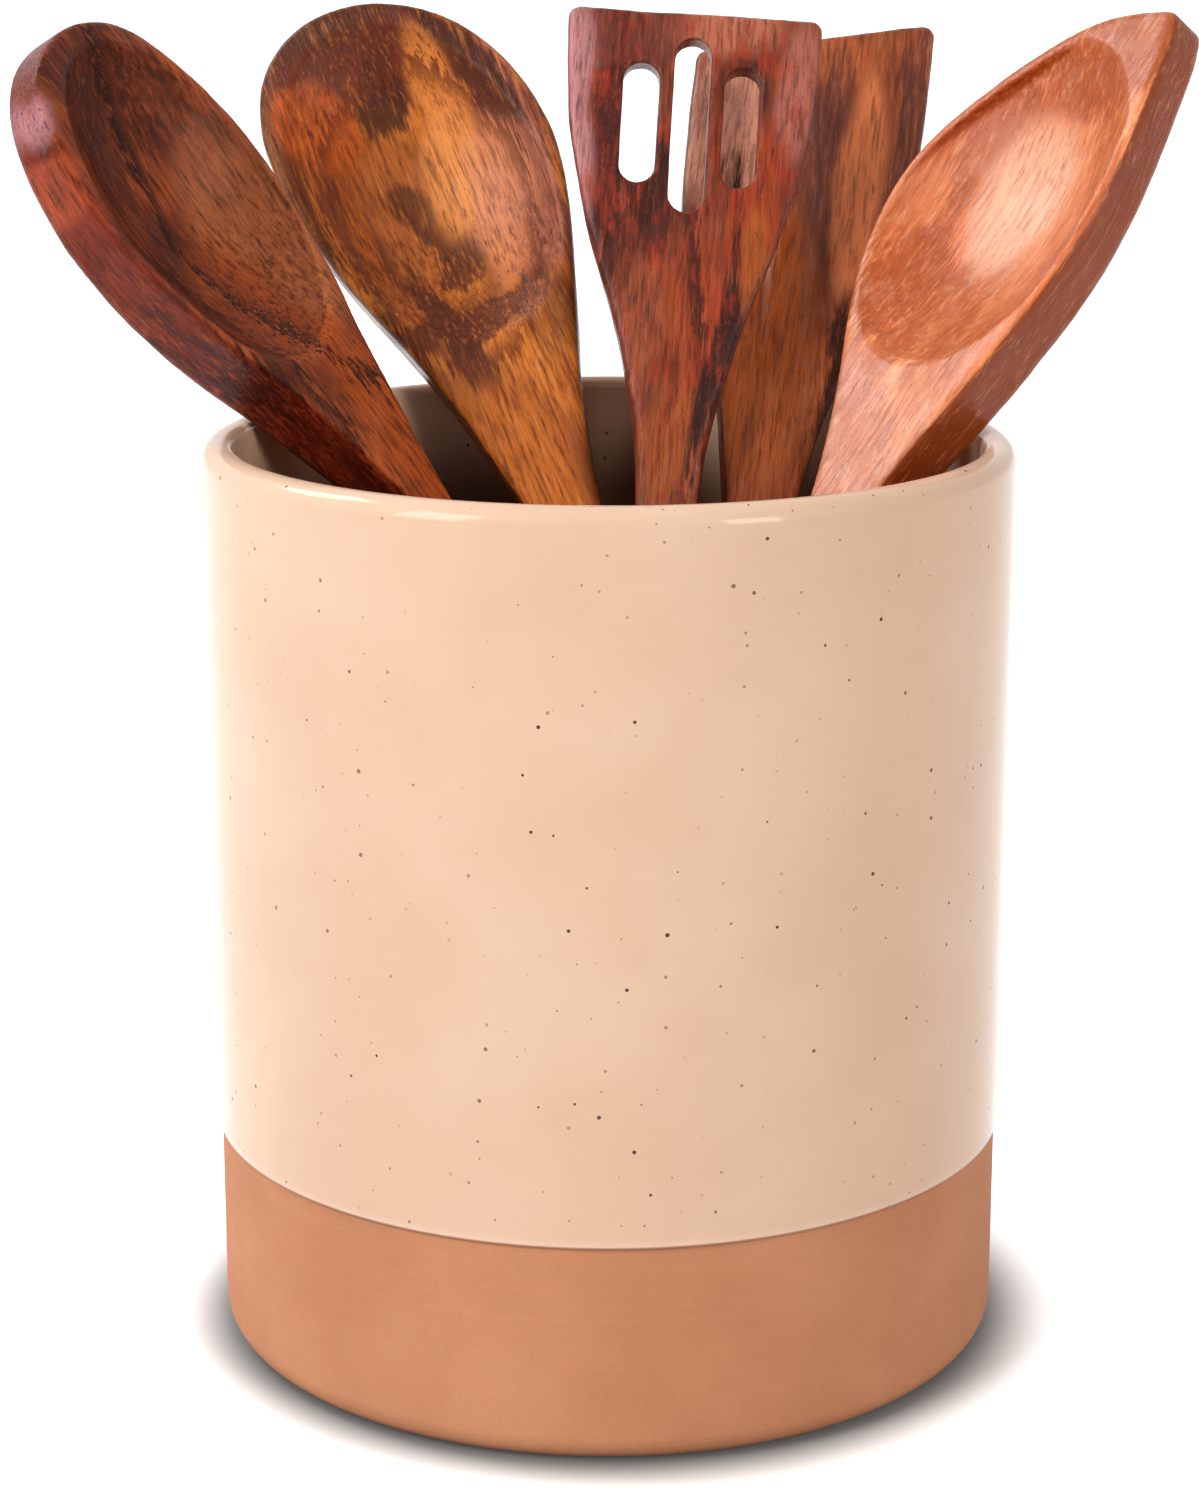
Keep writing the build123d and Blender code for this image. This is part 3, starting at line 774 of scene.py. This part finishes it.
sharp_from = radians(35)
for piece in (pot, glaze):
    pick(piece)
    bpy.ops.object.shade_smooth_by_angle(angle=sharp_from)
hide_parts("clay_body")
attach(pot, "crock")
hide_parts("cream_glaze")
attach(glaze, "crock")

# %% [markdown]
# A white floor and a white world, with a large soft lamp at the upper left and a weaker one
# at the right. A third stands high behind the left side and edges the tools with light.
# The camera, and reflections too, see the floor and the world brighter than they light the crock.
# So the ground stays white round the soft shadow, which is painted darker next to the foot, and the
# oiled wood keeps its depth.

# %% Floor, world and lamps
floor_size = 80
floor_glow = 0.05
world_light = 0.42


def stage_floor():
    """A white floor that is lit and shadowed near the crock, with a painted shadow round the foot,
    and plain white further away.
    """
    pick_none()
    bpy.ops.mesh.primitive_plane_add(size=floor_size, location=(0, 0, 0))
    floor = bpy.context.object
    floor.name = "floor"
    finish = Finish("white_floor")
    away = finish.length(finish.node("TexCoord").outputs["Object"])
    # A painted shadow on the floor, darkest at the foot.
    painted_contact_shadow = finish.between(away, pot_radius - 6 * mm, pot_radius + 12 * mm, 0.95, 0.0)
    far = finish.between(away, pot_radius - 2 * mm, pot_radius + 24 * mm)
    rays = finish.node("LightPath").outputs
    seen = finish.math("MAXIMUM", rays["Is Camera Ray"], rays["Is Transmission Ray"])
    seen = finish.math("MAXIMUM", seen, rays["Is Glossy Ray"])
    glow = finish.math("MULTIPLY", seen, finish.math("ADD", far, floor_glow))
    white = finish.mix(far, grey(0.86), grey(0.7))
    white = finish.mix(painted_contact_shadow, white, grey(0.06))
    finish.feed(finish.shader, {"Base Color": white, "Roughness": 0.9, "Specular IOR Level": 0.1,
                                "Emission Color": grey(1), "Emission Strength": glow})
    floor.data.materials.append(finish.material)


def white_world(light_level):
    """A world that is full white where it is seen, and lights the crock by light_level."""
    world = bpy.data.worlds.new("white_studio")
    bpy.context.scene.world = world
    world.use_nodes = True
    tree = world.node_tree
    background = tree.nodes["Background"]
    background.inputs["Color"].default_value = grey(1)
    rays = tree.nodes.new("ShaderNodeLightPath")
    seen = rays.outputs["Is Camera Ray"]
    for kind in ("Is Transmission Ray", "Is Glossy Ray"):
        either = tree.nodes.new("ShaderNodeMath")
        either.operation = "MAXIMUM"
        tree.links.new(seen, either.inputs[0])
        tree.links.new(rays.outputs[kind], either.inputs[1])
        seen = either.outputs[0]
    level = tree.nodes.new("ShaderNodeMapRange")
    tree.links.new(seen, level.inputs["Value"])
    level.inputs["To Min"].default_value = light_level
    level.inputs["To Max"].default_value = 1.0
    tree.links.new(level.outputs[0], background.inputs["Strength"])


def lamp(name, place, target, size, watts, tint):
    """A soft rectangular lamp that shines toward the target."""
    bpy.ops.object.light_add(type="AREA", location=place)
    light = bpy.context.object
    light.name = name
    light.rotation_euler = (Vector(target) - Vector(place)).to_track_quat("-Z", "Y").to_euler()
    light.data.shape = "RECTANGLE"
    light.data.size, light.data.size_y = size
    light.data.energy = watts
    light.data.color = tint
    print("lamp", name, watts, "W")


stage_floor()
white_world(world_light)
lamp("key", place=(-0.9, -0.75, 0.85), target=(0, 0, 0.12), size=(0.45, 0.8),
     watts=11.2, tint=(1, 0.98, 0.95))
lamp("fill", place=(0.75, -0.9, 0.6), target=(0, 0, 0.15), size=(0.3, 0.5),
     watts=4.8, tint=(1, 0.91, 0.82))
lamp("top", place=(-0.8, 0.31, 0.98), target=(0, 0, 0.2), size=(0.4, 0.4),
     watts=5.4, tint=(0.96, 0.97, 1))
bpy.context.scene.view_settings.view_transform = "Standard"
